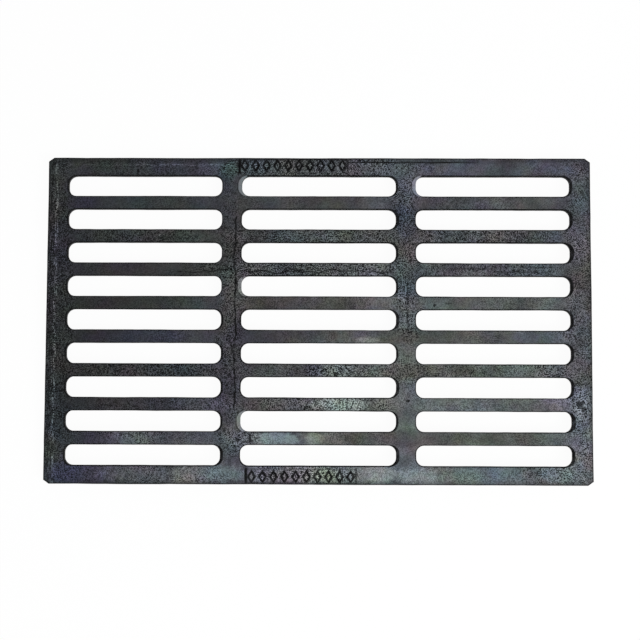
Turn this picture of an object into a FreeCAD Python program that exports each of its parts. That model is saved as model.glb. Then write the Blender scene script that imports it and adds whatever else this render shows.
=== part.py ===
"""Gully grate: one iron casting, 750 x 450 x 30 mm, that lies over a street gully.

The casting is a slotted deck with a skirt round its edge and ribs below its bars. The slots stand in
columns along X and rows along Y. Everything is in millimetres, in one frame: the origin is the centre of
the seating plane, +X runs along the slots, +Y across them and +Z up to the walking side.

It is made as the foundry makes it. The outside is one drafted block, and each slot is one sand core: a
wide tapered pocket below, and a narrow slot above it through the deck. Each is a stack of outlines, one
above the other, with straight walls between them, so drafts and bevels come from how each outline grows.
"""

import FreeCAD, Part
import math
import os

# Slots, as they open in the deck
SLOT_COLUMNS = 3
SLOT_ROWS = 9
SLOT_LENGTH = 212.0        # along X
SLOT_WIDTH = 27.0          # along Y
SLOT_CORNER = 10.5         # radius of a slot's four corners
SLOT_LIP = 1.2             # bevel round a slot's mouth
SLOT_DRAFT = 3.0           # degrees, wider towards the bottom

# Metal left between and round the slots, seen from above
BAR_WIDTH = 19.25          # between two rows
CROSS_BAR_WIDTH = 28.0     # between two columns
END_MARGIN = 29.0          # beyond the first and last column
SIDE_MARGIN = 26.5         # beyond the first and last row

# Section of the casting
DEPTH = 30.0               # from the seat to the deck
DECK_THICKNESS = 10.5
UPRIGHT_BAND = 8.0         # the top of the outer wall is plumb, and below this height it leans in
SIDE_DRAFT = 2.5           # degrees, that lean
CORE_DRAFT = 3.0           # degrees, ribs and skirt are thinner at their foot
SKIRT_FOOT = 11.0          # thickness of the skirt at the seat
RIB_TIP = 8.0              # thickness of the ribs below the bars, at their foot
CROSS_RIB_TIP = 12.0       # the same, below the cross bars
RIB_LIFT = 2.0             # the ribs end this far above the seat, so that only the skirt bears
POCKET_GUSSET = 5.0        # each upright corner of a pocket is filled by a gusset, this far each way
ROOT_BEVEL = 3.0           # where ribs and skirt meet the deck
FOOT_BEVEL = 1.5           # lead-in round the outside of the seat

# Outline, and the rim that falls away round the deck
CORNER_CUT_X = 7.5         # each corner of the plate is clipped
CORNER_CUT_Y = 5.5
RIM_WIDTH = 7.0
RIM_FALL = 1.2             # the rim's outer edge lies this far below the deck
RIM_EDGE_BEVEL = 1.2

# Two marking pads, sunk between the slots and the plate's edge, each with a row of plain tread studs
PAD_LENGTH = 152.0
PAD_DEPTH = 1.0
PAD_LAND = 3.0             # deck left between a pad and the slots
PAD_CORNER = 2.0           # its two inner corners are clipped by this
PAD_SLOPE = 0.9            # how far a pad's sides run out on their way up
BACK_PAD_CENTRE = -35.0    # X of the pad on the +Y side
FRONT_PAD_CENTRE = -23.0   # X of the pad on the -Y side
STUD_LENGTH = 10.5         # a stud is a raised lozenge, this long along X
STUD_WIDTH = 16.0          # and this wide along Y
STUD_GAP = 4.5
STUD_MARGIN = 2.5          # least space between the studs and the ends of their pad
STUD_SLOPE = 1.0           # how far a stud's side runs out on its way down

# Worked out from the sizes above
PITCH_X = SLOT_LENGTH + CROSS_BAR_WIDTH
PITCH_Y = SLOT_WIDTH + BAR_WIDTH
PLATE_LENGTH = SLOT_COLUMNS * PITCH_X - CROSS_BAR_WIDTH + 2 * END_MARGIN
PLATE_WIDTH = SLOT_ROWS * PITCH_Y - BAR_WIDTH + 2 * SIDE_MARGIN
HALF_LENGTH = PLATE_LENGTH / 2
HALF_WIDTH = PLATE_WIDTH / 2
DECK_UNDERSIDE = DEPTH - DECK_THICKNESS
RIM_HEIGHT = DEPTH - RIM_FALL
PAD_FLOOR = DEPTH - PAD_DEPTH
SIDE_LEAN = math.tan(math.radians(SIDE_DRAFT))
CORE_LEAN = math.tan(math.radians(CORE_DRAFT))
SLOT_LEAN = math.tan(math.radians(SLOT_DRAFT))
LEAN_TOP = RIM_HEIGHT - UPRIGHT_BAND
SEAT_INSET = LEAN_TOP * SIDE_LEAN
PAST = 1.0                 # how far a cutting shape runs past the face that it opens


def flat_stack(outlines):
    """The solid with flat walls from each polygon, a list of corners, to the next one above it."""
    rings = [outlines[0], outlines[-1]]
    for lower, upper in zip(outlines, outlines[1:]):
        for corner in range(len(lower)):
            rings.append([lower[corner - 1], lower[corner], upper[corner], upper[corner - 1]])
    walls = [Part.Face(Part.makePolygon(ring + ring[:1])) for ring in rings]
    shell = Part.makeShell(walls)
    shell.sewShape()
    return Part.makeSolid(shell)


def round_stack(outlines):
    """The solid with straight walls from each outline with round corners to the next one above it."""
    return Part.makeLoft(outlines, True, True)


def clipped_outline(centre, half_x, half_y, cut_x, cut_y, z):
    """The eight corners of a rectangle whose own corners are clipped."""
    right = [(half_x, half_y - cut_y), (half_x - cut_x, half_y)]
    back = right + [(-a, b) for a, b in reversed(right)]
    corners = back + [(-a, -b) for a, b in back]
    return [FreeCAD.Vector(centre[0] + a, centre[1] + b, z) for a, b in corners]


def plate_outline(inset, z):
    """The plate's outline, drawn in by the same distance on every side."""
    return clipped_outline(
        (0.0, 0.0), HALF_LENGTH - inset, HALF_WIDTH - inset, CORNER_CUT_X, CORNER_CUT_Y, z)


def rounded_outline(centre, half_x, half_y, radius, z):
    """A rectangle with round corners, as a closed wire of four arcs and four lines."""
    arcs = []
    for quarter, (sign_x, sign_y) in enumerate([(1, 1), (-1, 1), (-1, -1), (1, -1)]):
        middle = FreeCAD.Vector(
            centre[0] + sign_x * (half_x - radius), centre[1] + sign_y * (half_y - radius), z)
        start = 90.0 * quarter
        arcs.append(Part.makeCircle(radius, middle, FreeCAD.Vector(0, 0, 1), start, start + 90.0))
    edges = []
    for arc, following in zip(arcs, arcs[1:] + arcs[:1]):
        edges += [arc, Part.makeLine(arc.Vertexes[-1].Point, following.Vertexes[0].Point)]
    return Part.Wire(edges)


def outer_block():
    """The outside: a bevelled foot, a wall that leans out, its plumb top band and the falling rim."""
    return flat_stack([
        plate_outline(SEAT_INSET + FOOT_BEVEL, 0.0),
        plate_outline(SEAT_INSET - FOOT_BEVEL * SIDE_LEAN, FOOT_BEVEL),
        plate_outline(0.0, LEAN_TOP),
        plate_outline(0.0, RIM_HEIGHT - RIM_EDGE_BEVEL),
        plate_outline(RIM_EDGE_BEVEL, RIM_HEIGHT),
        plate_outline(RIM_WIDTH, DEPTH),
    ])


def slot_outline(centre, growth, z):
    """A slot's outline, grown by the same distance on every side."""
    corner = min(SLOT_CORNER, 0.49 * SLOT_WIDTH)
    return rounded_outline(
        centre, SLOT_LENGTH / 2 + growth, SLOT_WIDTH / 2 + growth, corner + growth, z)


def slot_core(centre):
    """The upper part of a core: one slot through the deck, drafted, with a bevelled mouth."""
    foot = DECK_UNDERSIDE - ROOT_BEVEL
    mouth = DEPTH - SLOT_LIP
    return round_stack([
        slot_outline(centre, (mouth - foot) * SLOT_LEAN, foot),
        slot_outline(centre, 0.0, mouth),
        slot_outline(centre, SLOT_LIP + PAST, DEPTH + PAST),
    ])


def pocket_reach(number, count, pitch, half_plate, rib_tip, z):
    """From where to where a pocket goes along one axis at a height: to a rib, or to the skirt."""
    rib_side = rib_tip / 2 + (z - RIB_LIFT) * CORE_LEAN
    skirt_side = half_plate - SEAT_INSET - SKIRT_FOOT - z * CORE_LEAN
    centre = (number - (count - 1) / 2) * pitch
    low = -skirt_side if number == 0 else centre - pitch / 2 + rib_side
    high = skirt_side if number == count - 1 else centre + pitch / 2 - rib_side
    return low, high


def pocket_outline(column, row, growth, z):
    """A pocket's outline at a height, grown by the same distance on every side."""
    low_x, high_x = pocket_reach(column, SLOT_COLUMNS, PITCH_X, HALF_LENGTH, CROSS_RIB_TIP, z)
    low_y, high_y = pocket_reach(row, SLOT_ROWS, PITCH_Y, HALF_WIDTH, RIB_TIP, z)
    centre = ((low_x + high_x) / 2, (low_y + high_y) / 2)
    return clipped_outline(
        centre, (high_x - low_x) / 2 + growth, (high_y - low_y) / 2 + growth,
        POCKET_GUSSET, POCKET_GUSSET, z)


def pocket_core(column, row):
    """The lower part of a core: the tapered pocket between the ribs or the skirt, with bevelled roots."""
    root = DECK_UNDERSIDE - ROOT_BEVEL
    return flat_stack([
        pocket_outline(column, row, 0.0, -PAST),
        pocket_outline(column, row, 0.0, root),
        pocket_outline(column, row, -ROOT_BEVEL, DECK_UNDERSIDE),
    ])


def seat_relief():
    """The shallow space below the ribs, inside the skirt, that keeps them off the seat."""
    outlines = []
    for z in (-PAST, RIB_LIFT):
        inset = SEAT_INSET + SKIRT_FOOT + z * CORE_LEAN
        outlines.append(clipped_outline(
            (0.0, 0.0), HALF_LENGTH - inset, HALF_WIDTH - inset, POCKET_GUSSET, POCKET_GUSSET, z))
    return flat_stack(outlines)


def pad_inner_edge():
    """How far from the plate's centre line, along Y, the marking pads begin."""
    return HALF_WIDTH - SIDE_MARGIN + SLOT_LIP + PAD_LAND


def pad_recess(centre_x, side):
    """The space over a marking pad, from the land beside the slots out past the plate's edge."""
    inner = pad_inner_edge()
    outer = HALF_WIDTH + PAD_CORNER + 2 * PAST
    centre = (centre_x, side * (inner + outer) / 2)
    outlines = []
    for z in (PAD_FLOOR, DEPTH + PAST):
        growth = (z - DEPTH) * PAD_SLOPE / PAD_DEPTH
        outlines.append(clipped_outline(
            centre, PAD_LENGTH / 2 + growth, (outer - inner) / 2 + growth, PAD_CORNER, PAD_CORNER, z))
    return flat_stack(outlines)


def stud_outline(centre, growth, z):
    """The four corners of a lozenge, grown along both of its diagonals in proportion."""
    scale = 1 + 2 * growth / STUD_LENGTH
    half_x = scale * STUD_LENGTH / 2
    half_y = scale * STUD_WIDTH / 2
    corners = [(half_x, 0), (0, half_y), (-half_x, 0), (0, -half_y)]
    return [FreeCAD.Vector(centre[0] + a, centre[1] + b, z) for a, b in corners]


def tread_studs(centre_x, side):
    """A row of raised lozenges along the middle of a marking pad. They end level with the deck."""
    centre_y = side * (HALF_WIDTH + pad_inner_edge()) / 2
    pitch = STUD_LENGTH + STUD_GAP
    count = int((PAD_LENGTH - 2 * STUD_MARGIN + STUD_GAP) // pitch)
    studs = []
    for number in range(count):
        centre = (centre_x + (number - (count - 1) / 2) * pitch, centre_y)
        foot = stud_outline(centre, PAST * STUD_SLOPE / PAD_DEPTH, PAD_FLOOR - PAST)
        top = stud_outline(centre, -STUD_SLOPE, DEPTH)
        studs.append(flat_stack([foot, top]))
    return studs


def grate():
    """The whole casting: the block, less one core for every slot, with its marking pads."""
    cores = [seat_relief()]
    for column in range(SLOT_COLUMNS):
        for row in range(SLOT_ROWS):
            centre = ((column - (SLOT_COLUMNS - 1) / 2) * PITCH_X,
                      (row - (SLOT_ROWS - 1) / 2) * PITCH_Y)
            cores += [pocket_core(column, row), slot_core(centre)]
    pads = [pad_recess(BACK_PAD_CENTRE, 1), pad_recess(FRONT_PAD_CENTRE, -1)]
    studs = tread_studs(BACK_PAD_CENTRE, 1) + tread_studs(FRONT_PAD_CENTRE, -1)
    return outer_block().cut(cores + pads).fuse(studs)


def main():
    os.makedirs("parts", exist_ok=True)
    casting = grate()
    casting.exportStep("parts/grate.step")
    box = casting.optimalBoundingBox()
    print("grate", len(casting.Solids), "solid, valid", casting.isValid(),
          "size", round(box.XLength, 2), round(box.YLength, 2), round(box.ZLength, 2),
          "volume in cubic cm", round(casting.Volume / 1000, 1))


main()
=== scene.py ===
# %% [markdown]
# # A cast iron gully grate
# This lesson dresses one plain CAD casting: a slotted iron plate that lies over a street gully. The
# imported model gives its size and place. We model a denser casting on top of it, with round edges and a
# slightly uneven skin, and give it an iron finish made of nodes. The first step only loads the frame and
# keeps its box, because nothing that we model may stand outside it.

import math

import bmesh
import bpy
from mathutils import Matrix, Vector, noise


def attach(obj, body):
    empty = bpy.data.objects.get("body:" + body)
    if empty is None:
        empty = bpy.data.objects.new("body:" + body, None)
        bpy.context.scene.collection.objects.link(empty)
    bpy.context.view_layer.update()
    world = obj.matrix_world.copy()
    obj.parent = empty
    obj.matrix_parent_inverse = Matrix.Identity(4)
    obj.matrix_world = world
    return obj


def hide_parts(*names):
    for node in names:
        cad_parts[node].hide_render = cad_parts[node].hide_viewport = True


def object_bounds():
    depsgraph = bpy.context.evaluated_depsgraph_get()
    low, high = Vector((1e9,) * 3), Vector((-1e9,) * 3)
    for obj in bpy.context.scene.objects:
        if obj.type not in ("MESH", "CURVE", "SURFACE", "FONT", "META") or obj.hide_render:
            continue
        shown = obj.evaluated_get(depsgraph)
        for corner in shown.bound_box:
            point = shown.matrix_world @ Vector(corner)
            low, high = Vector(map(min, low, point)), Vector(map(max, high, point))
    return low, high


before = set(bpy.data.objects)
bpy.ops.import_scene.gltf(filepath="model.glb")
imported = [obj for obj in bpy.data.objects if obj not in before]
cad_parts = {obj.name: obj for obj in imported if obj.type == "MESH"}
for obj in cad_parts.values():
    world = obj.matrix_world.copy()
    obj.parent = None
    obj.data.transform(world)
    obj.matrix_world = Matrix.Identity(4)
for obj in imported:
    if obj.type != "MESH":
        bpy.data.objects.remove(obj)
cad_low, cad_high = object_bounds()
print("CAD box in metres:", tuple(cad_low), tuple(cad_high))

# %% [markdown]
# ## The sizes that the shape needs
# A grate repeats itself, so a few sizes give all of it: one slot, the bars between slots, and the section
# through the casting. The outer size comes from the frame. The rest is written here in millimetres and
# turned into metres, because Blender and the frame both use metres. A pair of sizes is X, then Y.

# %% Sizes
MM = 0.001
COLUMNS, ROWS = 3, 9
SLOT_HALF = (106.0 * MM, 13.5 * MM)
PITCH = (240.0 * MM, 46.25 * MM)
SLOT_CORNER = 10.5 * MM
LIP = 1.5 * MM
END_LIP = 3.2 * MM
WIDE_END_LIP = 4.6 * MM
PALE_END_LIP = 5.0 * MM
WIDE_ENDS = ((1, 7), (1, 4), (1, 2), (1, 0), (0, 0), (2, 6), (2, 1))
# The wide lip at these left ends gets a painted highlight.
PALE_ENDS = ((1, 8), (1, 5), (1, 1), (2, 8))
PALE_OUTLINE = 0.6
CORE_LEAN = math.tan(math.radians(3.0))

TOP = cad_high.z
DECK_UNDERSIDE = TOP - 10.5 * MM
ROOT_RADIUS = 3.0 * MM
RIB_LIFT = 2.0 * MM
RIB_HALF_TIP = (6.0 * MM, 4.0 * MM)
SKIRT_INSET = 11.9 * MM
TIP_ROUND = 0.8 * MM

HALF = (cad_high.x, cad_high.y)
RIM_WIDTH = 7.0 * MM
CORNER_CUT = (7.5 * MM, 5.5 * MM)
print("Slots:", COLUMNS * ROWS, "on a plate of", round(2 * HALF[0], 3), "by", round(2 * HALF[1], 3), "m")

# %% [markdown]
# ## One ring of points
# Every surface of the casting can be drawn as rings round a slot: the edge of its share of the deck, the
# lip, the slot's wall, the pocket below it, and the tips of the ribs. A Boolean cut would leave long thin
# faces, while rings of the same number of points give even, four-sided faces that take a soft skin well.
# A ring is given by how far its right, back, left and front sides lie from the slot's middle, and by how
# square its corners are: 0 is round and 1 is a sharp corner. Its height may differ from side to side.

# %% Ring helper
LONG_STEPS, SHORT_STEPS, ARC_STEPS = 46, 2, 8
CORE = (SLOT_HALF[0] - SLOT_CORNER, SLOT_HALF[1] - SLOT_CORNER)
SIDE_AXIS = (0, 1, 0, 1)
SIDE_SIGN = (1, 1, -1, -1)


def corner_height(before, after, turn):
    """The height on the way round a corner. The lower side keeps its height as far as the corner."""
    share = max(0.0, 2 * turn - 1) if before < after else min(1.0, 2 * turn)
    return before + (after - before) * share


def ring_points(centre, reach, squareness, heights):
    """The points of one ring round a slot, anticlockwise from the back end of its right side."""
    points = []
    for side in range(4):
        following = (side + 1) % 4
        ends = {SIDE_AXIS[side]: side, SIDE_AXIS[following]: following}
        for step in range(ARC_STEPS + 1):
            angle = math.radians(90 * (side + step / ARC_STEPS))
            way = (math.cos(angle), math.sin(angle))
            push = 1 + squareness * (1 / max(abs(way[0]), abs(way[1])) - 1)
            place = [centre[axis] + SIDE_SIGN[ends[axis]] * CORE[axis]
                     + way[axis] * push * (reach[ends[axis]] - CORE[axis]) for axis in (0, 1)]
            height = corner_height(heights[side], heights[following], step / ARC_STEPS)
            points.append(Vector((*place, height)))
        along = 1 - SIDE_AXIS[following]
        straight_end = points[-1].copy()
        straight_end[along] = 2 * centre[along] - straight_end[along]
        steps = LONG_STEPS if along == 0 else SHORT_STEPS
        for step in range(1, steps):
            points.append(points[-step].lerp(straight_end, step / steps))
    return points


RING_SIZE = len(ring_points((0, 0), (0.12, 0.023, 0.12, 0.023), 1, (TOP,) * 4))
print("Points in a ring:", RING_SIZE)

# %% [markdown]
# ## The rings of one slot, from the deck down to the rib tips
# On the real casting one sand core makes each slot: narrow through the deck, wider below it. We list its
# rings in the order in which a finger would meet them: across the deck, over the rounded lip, down the
# wall, out under the deck, round the root and down between the ribs. A slot beside the plate's edge has a
# wider share of deck and a skirt in place of a rib, so each side asks what it faces. The lip is wider at
# a slot's right end, where the pattern was drawn out of the sand a little askew, and widest at a few.
# The lip's edge values paint shade along it, which shows as a dark crescent at these wide right ends.

# %% Ring table
DECK_SHARES = (1.0, 0.75, 0.5, 0.25, 0.05)
LIP_ANGLES = (0, 30, 60, 90)
WALL_HEIGHTS = (DECK_UNDERSIDE + 5.0 * MM, DECK_UNDERSIDE + 0.8 * MM)
POCKET_SQUARENESS = 0.6


def slot_centre(column, row):
    """The middle of one slot."""
    return ((column - (COLUMNS - 1) / 2) * PITCH[0], (row - (ROWS - 1) / 2) * PITCH[1])


def faces_edge(column, row):
    """Whether the right, back, left and front sides of a slot face the plate's edge."""
    return (column == COLUMNS - 1, row == ROWS - 1, column == 0, row == 0)


def side_reach(column, row, inset, bar_half):
    """How far each side reaches: to inset from the plate's edge, or to bar_half from a bar's middle."""
    centre = slot_centre(column, row)
    reach = []
    for side, at_edge in enumerate(faces_edge(column, row)):
        axis = SIDE_AXIS[side]
        to_edge = HALF[axis] - inset - SIDE_SIGN[side] * centre[axis]
        reach.append(to_edge if at_edge else PITCH[axis] / 2 - bar_half[axis])
    return reach


def grown_slot(growth, at_right=None, at_left=None):
    """The slot's own outline, grown by one distance, or by other ones at its right and left ends."""
    reach = [SLOT_HALF[SIDE_AXIS[side]] + growth for side in range(4)]
    for side, at_end in ((0, at_right), (2, at_left)):
        if at_end is not None:
            reach[side] = SLOT_HALF[0] + at_end
    return reach


def end_lips(column, row):
    """How wide the lip is at a slot's right end and at its left end."""
    right = END_LIP if column > 0 or row < 5 else LIP
    if (column, row) in WIDE_ENDS:
        right = WIDE_END_LIP
    return right, PALE_END_LIP if (column, row) in PALE_ENDS else LIP


def pocket_reach(column, row, height):
    """The pocket's outline at a height: ribs and skirt grow thicker on their way up."""
    bar_half = [tip + (height - RIB_LIFT) * CORE_LEAN for tip in RIB_HALF_TIP]
    return side_reach(column, row, SKIRT_INSET + height * CORE_LEAN, bar_half)


def slot_rings(column, row):
    """All rings of one slot as (reach, squareness, heights, edge values: the usual one, at a highlit end)."""
    rings = []
    right_lip, left_lip = end_lips(column, row)
    lip_edge = grown_slot(LIP, right_lip, left_lip)
    deck_edge = side_reach(column, row, RIM_WIDTH, (0.0, 0.0))
    for share in DECK_SHARES:
        reach = [near + (far - near) * share for near, far in zip(lip_edge, deck_edge)]
        outline = PALE_OUTLINE if share == DECK_SHARES[-1] else 0.0
        rings.append((reach, share, [TOP] * 4, (0.0, outline)))
    # The lip, the wall and the deck's underside get edge values that paint shade on them. At a pale end, the
    # lip's values below zero paint a highlight.
    for degrees in LIP_ANGLES:
        angle = math.radians(degrees)
        height = TOP - LIP * (1 - math.cos(angle))
        left = 1 - math.sin(angle)
        reach = grown_slot(LIP * left, right_lip * left, left_lip * left)
        rings.append((reach, 0.0, [height] * 4, (1.0, -1.0)))
    for height in WALL_HEIGHTS:
        rings.append((grown_slot((TOP - LIP - height) * CORE_LEAN), 0.0, [height] * 4, (0.6, -0.6)))
    under = (TOP - LIP - DECK_UNDERSIDE) * CORE_LEAN + 0.8 * MM
    rings.append((grown_slot(under), 0.0, [DECK_UNDERSIDE] * 4, (0.3, 0.0)))

    root = DECK_UNDERSIDE - ROOT_RADIUS
    root_reach = pocket_reach(column, row, root)
    for degrees in (0, 30, 60, 90):
        angle = math.radians(degrees)
        reach = [far - ROOT_RADIUS * (1 - math.sin(angle)) for far in root_reach]
        height = root + ROOT_RADIUS * math.cos(angle)
        rings.append((reach, POCKET_SQUARENESS, [height] * 4, (0.0, 0.0)))

    tips = [0.0 if at_edge else RIB_LIFT for at_edge in faces_edge(column, row)]
    for share in (0.33, 0.67, 1.0):
        heights = [root + (tip + TIP_ROUND - root) * share for tip in tips]
        reach = [pocket_reach(column, row, height)[side] for side, height in enumerate(heights)]
        rings.append((reach, POCKET_SQUARENESS, heights, (0.0, 0.0)))
    wall_foot = rings[-1][0]
    for turn in (0.5, 1.0):
        angle = math.radians(90 * turn)
        reach = [far + TIP_ROUND * (1 - math.cos(angle)) for far in wall_foot]
        heights = [tip + TIP_ROUND * (1 - math.sin(angle)) for tip in tips]
        rings.append((reach, 0.5 + POCKET_SQUARENESS * (1 - turn), heights, (0.0, 0.0)))
    seat_edge = side_reach(column, row, SKIRT_INSET - 2 * TIP_ROUND, (0.0, 0.0))
    rings.append((seat_edge, 1.0, tips, (0.0, 0.0)))
    return rings


print("Rings for each slot:", len(slot_rings(0, 0)))

# %% [markdown]
# ## Pulling the rings
# A circle operator gives the first ring, and each further ring is extruded from the edges of the last one
# and then set in place. Extruding keeps the order of the points, so no face is ever written by hand. All
# 27 slots are made the same way and meet at the middle of each bar, where doubles are merged. A layer
# named edge marks the points at a slot's lip, wall and the deck's underside, and the finish darkens them
# later as painted shade. At four left ends the wide lip faces the lamp. It gets values below zero, which
# the finish reads as pale, a painted highlight, inside a thin dark outline.

# %% Slots and ribs
MERGE = 0.01 * MM


def pull_ring(bm, ring):
    """A new ring, joined to an ordered ring of points by a band of faces. Its points keep that order."""
    edges = [bm.edges.get(pair) for pair in zip(ring, ring[1:] + ring[:1])]
    made = bmesh.ops.extrude_edge_only(bm, edges=edges)["geom"]
    fresh = {item for item in made if isinstance(item, bmesh.types.BMVert)}
    return [next(edge.other_vert(point) for edge in point.link_edges if edge.other_vert(point) in fresh)
            for point in ring]


casting = bmesh.new()
edge_layer = casting.verts.layers.float.new("edge")
for column in range(COLUMNS):
    for row in range(ROWS):
        ring = None
        for reach, squareness, heights, (usual, at_highlit_end) in slot_rings(column, row):
            if ring is None:
                ring = bmesh.ops.create_circle(casting, segments=RING_SIZE, radius=0.01)["verts"]
            else:
                ring = pull_ring(casting, ring)
            places = ring_points(slot_centre(column, row), reach, squareness, heights)
            for point, place in zip(ring, places):
                point.co = place
                # Points at the left end of a pale slot take the edge value that paints a highlight.
                at_left = slot_centre(column, row)[0] - place.x > CORE[0] + 4.0 * MM
                highlit_end = at_left and (column, row) in PALE_ENDS
                point[edge_layer] = at_highlit_end if highlit_end else usual
bmesh.ops.remove_doubles(casting, verts=casting.verts, dist=MERGE)
print("Lattice:", len(casting.verts), "points,", len(casting.faces), "faces")

# %% [markdown]
# ## The rim, the outer wall and the seat
# Merging leaves two open borders: the inner line of the rim above and the inner edge of the seat below.
# The upper one is pulled outwards and down in a few rings that follow the casting's section, and the last
# ring is bridged to the lower border. Each corner of the plate is clipped, so three points share the cut.
# The third number of each ring is its value in the edge layer.

# %% Outer wall
EDGE_PROFILE = (
    (6.0 * MM, TOP - 0.2 * MM, 0.25), (4.0 * MM, TOP - 0.6 * MM, 0.25),
    (2.6 * MM, TOP - 0.92 * MM, 0.3), (1.5 * MM, TOP - 1.13 * MM, 0.8),
    (0.7 * MM, TOP - 1.5 * MM, 1.0), (0.18 * MM, TOP - 2.15 * MM, 1.0), (0.0, TOP - 3.1 * MM, 1.0),
    (0.0, 24.5 * MM, 0.4), (0.0, 20.8 * MM, 0.2), (0.3 * MM, 14.5 * MM, 0.2),
    (0.57 * MM, 8.0 * MM, 0.3), (0.85 * MM, 1.7 * MM, 0.7), (1.25 * MM, 0.65 * MM, 0.7),
    (2.4 * MM, 0.0, 0.4),
)
rim_line = (HALF[0] - RIM_WIDTH, HALF[1] - RIM_WIDTH)


def open_border(bm, high):
    """The points of the upper or the lower open border, in order."""
    edges = {edge for edge in bm.edges
             if edge.is_boundary and (edge.verts[0].co.z > TOP / 2) == high}
    edge = next(iter(sorted(edges, key=lambda item: item.index)))
    point = edge.verts[0]
    border = []
    while edge:
        border.append(point)
        point = edge.other_vert(point)
        edge = next((other for other in point.link_edges if other in edges and other is not edge), None)
        if point is border[0]:
            break
    return border


def outline_places(base, inset, height):
    """Where the points of the rim's inner line go on the plate's outline, drawn in by inset."""
    count = len(base)
    places = []
    on_line = [[abs(abs(spot[axis]) - rim_line[axis]) < MERGE for axis in (0, 1)] for spot in base]
    for number, spot in enumerate(base):
        place = [spot[0], spot[1]]
        edge = [math.copysign(HALF[axis] - inset, spot[axis]) for axis in (0, 1)]
        cut_end = [math.copysign(HALF[axis] - inset - CORNER_CUT[axis], spot[axis]) for axis in (0, 1)]
        beside_corner = all(on_line[number - 1]) or all(on_line[(number + 1) % count])
        for axis in (0, 1):
            if all(on_line[number]):
                place[axis] = (edge[axis] + cut_end[axis]) / 2
            elif on_line[number][axis]:
                place[axis] = edge[axis]
            elif beside_corner:
                place[axis] = cut_end[axis]
        places.append(Vector((*place, height)))
    return places


casting.edges.index_update()
ring = open_border(casting, high=True)
base_line = [point.co.copy() for point in ring]
for inset, height, shade in EDGE_PROFILE:
    ring = pull_ring(casting, ring)
    for point, place in zip(ring, outline_places(base_line, inset, height)):
        point.co = place
        point[edge_layer] = shade
open_edges = [edge for edge in casting.edges if edge.is_boundary]
bmesh.ops.bridge_loops(casting, edges=open_edges)
bmesh.ops.recalc_face_normals(casting, faces=casting.faces)
print("Open edges left:", sum(edge.is_boundary for edge in casting.edges),
      "volume in cubic cm:", round(casting.calc_volume() * 1e6, 1))

# %% [markdown]
# ## Marking pads
# Founders leave two shallow sunken fields on such plates. Here they stay plain, with a row of lozenge
# studs that give a shoe some grip. Planes cut the deck just where each field's slope begins and ends, so
# its edge stays straight, and then only the points inside are lowered. The edge layer is darker along the
# foot of the slope, strongest at the left end, and in a band near the plate's edge. The studs are
# four-sided cones from an operator, stretched to lozenges and sunk into the floor of the field.

# %% Pads and studs
PAD_HALF_LENGTH = 76.0 * MM
PAD_INNER = 202.7 * MM
PAD_FLOOR = TOP - 1.0 * MM
PAD_SLOPE = 0.9 * MM
PAD_LINE = 1.9 * MM
PAD_END_SHADES = (1.0, 0.5)
RIM_DARK_BAND = (2.0 * MM, 3.0 * MM)
PAD_CENTRES = ((-35.0 * MM, 1), (-23.0 * MM, -1))
STUD_HALF = (5.25 * MM, 8.0 * MM)
STUD_PITCH = 15.0 * MM
STUDS = 10


def cut_deck(bm, axis, at, low, high):
    """Cuts the deck's faces along a line at one X (axis 0) or Y (axis 1), inside a rectangle."""
    faces = [face for face in bm.faces if face.normal.z > 0.5
             and all(low[a] < face.calc_center_median()[a] < high[a] for a in (0, 1))]
    edges = {edge for face in faces for edge in face.edges}
    points = {point for face in faces for point in face.verts}
    line_point = [0.0, 0.0, 0.0]
    line_point[axis] = at
    across = [0.0, 0.0, 0.0]
    across[axis] = 1.0
    bmesh.ops.bisect_plane(bm, geom=[*faces, *edges, *points], dist=MERGE,
                           plane_co=line_point, plane_no=across)


def sink_pad(bm, centre_x, side):
    """Lowers one marking field, with a short slope on its three closed sides."""
    x_low, x_high = centre_x - PAD_HALF_LENGTH, centre_x + PAD_HALF_LENGTH
    reach = 12.0 * MM
    y_range = sorted((side * (PAD_INNER - 2.0 * MM), side * (HALF[1] + reach)))
    steps = (0.0, PAD_SLOPE, PAD_SLOPE + PAD_LINE, PAD_SLOPE + 2 * PAD_LINE)
    for at in [x_low + step for step in steps] + [x_high - step for step in steps]:
        cut_deck(bm, 0, at, (at - reach, y_range[0]), (at + reach, y_range[1]))
    for at in [PAD_INNER + step for step in steps[:3]]:
        near = sorted((side * (at - reach), side * (at + reach)))
        cut_deck(bm, 1, side * at, (x_low, near[0]), (x_high, near[1]))
    for point in bm.verts:
        ways_in = (point.co.x - x_low, x_high - point.co.x, side * point.co.y - PAD_INNER)
        depth = min(ways_in) / PAD_SLOPE
        if depth > 0 and point.co.z > PAD_FLOOR:
            point.co.z += (PAD_FLOOR - point.co.z) * min(1.0, depth)
            if abs(depth - 1) < 0.05:
                point[edge_layer] = 0.7
        for way_in, shade in zip(ways_in, PAD_END_SHADES):
            on_line = -MERGE < way_in < PAD_SLOPE + PAD_LINE + MERGE
            if on_line and ways_in[2] > 0 and point.co.z > TOP - 2 * (TOP - PAD_FLOOR):
                point[edge_layer] = max(point[edge_layer], shade)
        if depth > 0 and RIM_DARK_BAND[0] < HALF[1] - side * point.co.y < RIM_DARK_BAND[1]:
            point[edge_layer] = 0.9


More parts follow.
